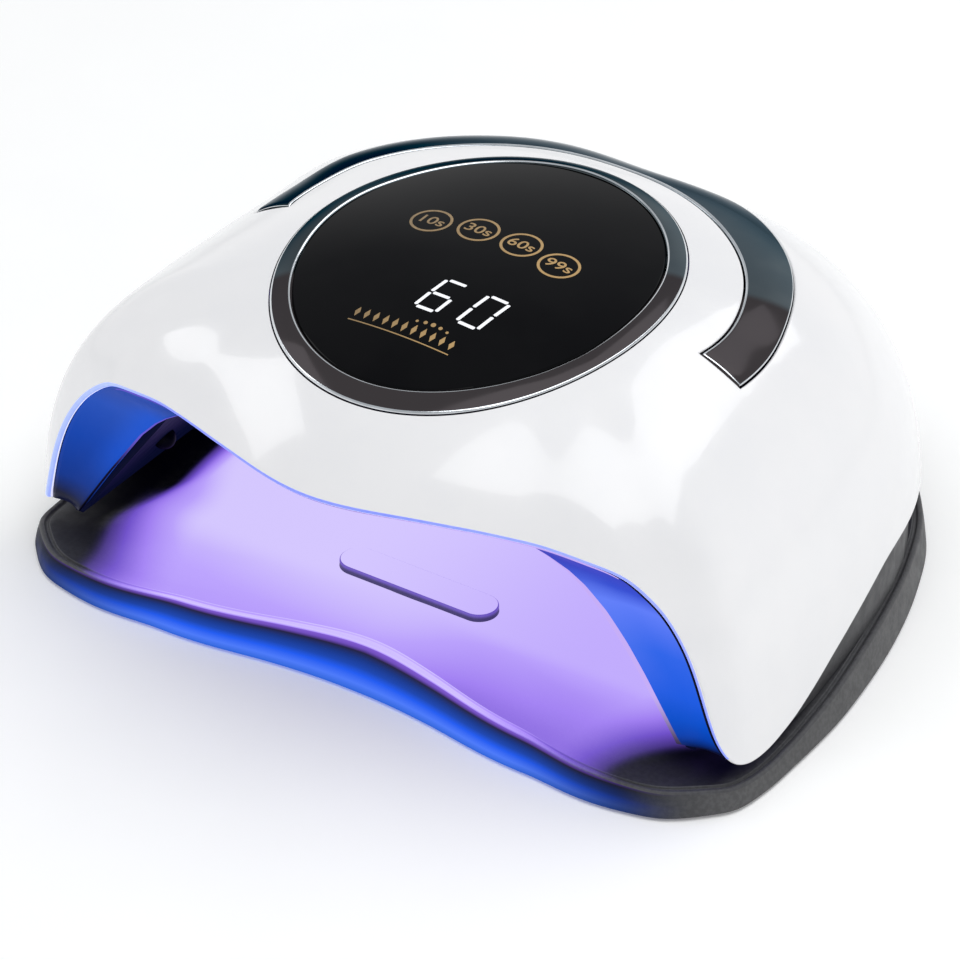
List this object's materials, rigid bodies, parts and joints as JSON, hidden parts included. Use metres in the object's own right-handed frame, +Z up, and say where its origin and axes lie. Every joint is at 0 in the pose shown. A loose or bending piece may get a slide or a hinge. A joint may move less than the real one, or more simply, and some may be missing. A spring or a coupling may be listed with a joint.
{
  "type": "resin curing lamp",
  "caption": "Domed tabletop lamp with an open front bay lit by violet diodes, a round timer display, a chromed rear trim band and a loose base tray held by magnets.",
  "frame": {"origin": "middle of the whole object's footprint, on the table", "axes": "+X to the right seen from the front, front towards -Y, +Z up"},
  "size_m": [0.227, 0.2099, 0.104],
  "materials": {
    "tray_plastic": "fine-textured matte dark grey plastic",
    "foot_rubber": "soft black rubber",
    "magnet_nickel": "nickel-plated magnet",
    "shell_white": "high-gloss white plastic",
    "housing_dark": "fine-textured matte dark grey plastic",
    "surround_plastic": "satin pale plastic, lit blue by the bay's lamps",
    "liner_reflector": "satin silver-white reflector",
    "screw_steel": "zinc-plated steel",
    "smoked_chrome": "smoky plated chrome",
    "window_black": "tinted black acrylic, polished",
    "carrier_black": "plain black plastic",
    "board_green": "solder-masked circuit board",
    "chip_black": "moulded epoxy",
    "digit_white": "lit white display bars",
    "spring_brass": "gold-flashed spring wire",
    "led_board_white": "white solder-masked aluminium board",
    "led_lens": "clear lens over a violet emitter",
    "sensor_dark": "dark infrared-pass resin",
    "socket_black": "moulded nylon",
    "pin_steel": "plated contact pin",
    "lead_red": "soft insulated lead"
  },
  "bodies": {
    "tray": {"base_tray": "tray_plastic", "rubber_feet": "foot_rubber", "tray_magnets": "magnet_nickel"},
    "housing": {"top_shell": "shell_white", "lower_housing": "housing_dark", "front_surround": "surround_plastic", "inner_liner": "liner_reflector", "liner_screws": "screw_steel", "housing_magnets": "magnet_nickel", "display_bezel": "smoked_chrome", "display_glass": "window_black", "display_carrier": "carrier_black", "carrier_screws": "screw_steel", "control_board": "board_green", "board_screws": "screw_steel", "board_chips": "chip_black", "digit_display": "carrier_black", "digit_segments": "digit_white", "touch_spring_10": "spring_brass", "touch_spring_30": "spring_brass", "touch_spring_60": "spring_brass", "touch_spring_99": "spring_brass", "led_board_ceiling": "led_board_white", "led_board_left": "led_board_white", "led_board_right": "led_board_white", "led_board_rear": "led_board_white", "led_board_corner_left": "led_board_white", "led_board_corner_right": "led_board_white", "ceiling_leds": "led_lens", "left_leds": "led_lens", "right_leds": "led_lens", "rear_leds": "led_lens", "corner_leds": "led_lens", "ir_sensors": "sensor_dark", "dc_socket": "socket_black", "dc_pin": "pin_steel", "dc_nut": "screw_steel", "dc_leads": "lead_red", "led_leads": "lead_red", "handle_trim": "smoked_chrome"}
  },
  "joints": [
    {"name": "housing_lift", "type": "slide", "parent": "tray", "child": "housing", "axis": [0, 0, 1], "range_m": [0, 0.06]}
  ]
}
